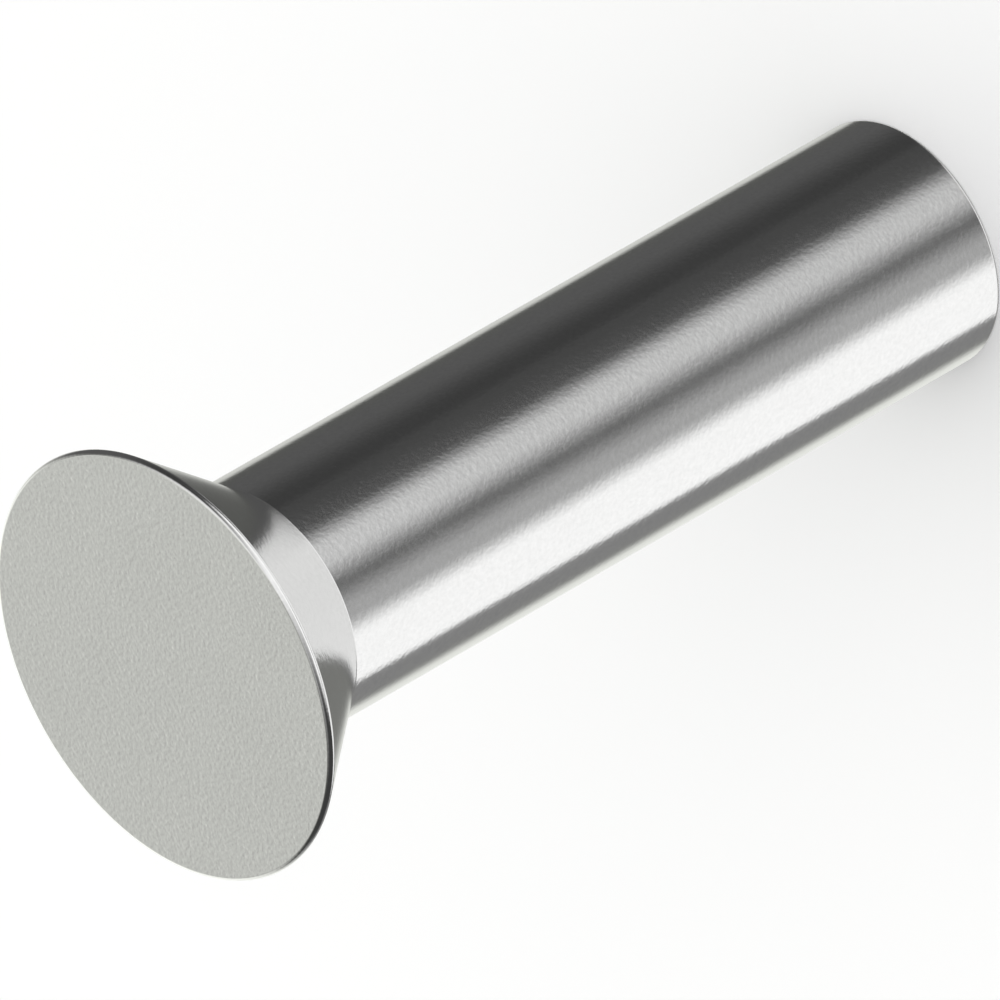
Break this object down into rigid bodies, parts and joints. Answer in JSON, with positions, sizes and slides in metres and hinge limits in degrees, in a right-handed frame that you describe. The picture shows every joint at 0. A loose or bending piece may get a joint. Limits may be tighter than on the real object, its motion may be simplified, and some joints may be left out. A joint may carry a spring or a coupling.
{
  "type": "solid rivet",
  "caption": "Solid rivet with a flat countersunk head and a plain round shank, put through a hole and upset at its plain end to join sheets for good.",
  "frame": {"origin": "centre of the shank's plain end, which the rivet stands on", "axes": "+Z along the shank, from the plain end to the flat face of the head"},
  "size_m": [0.0068, 0.0068, 0.0156],
  "materials": {
    "steel": "bright steel with a fine grain, satin on the flat face"
  },
  "bodies": {
    "root": {"rivet": "steel"}
  },
  "joints": []
}
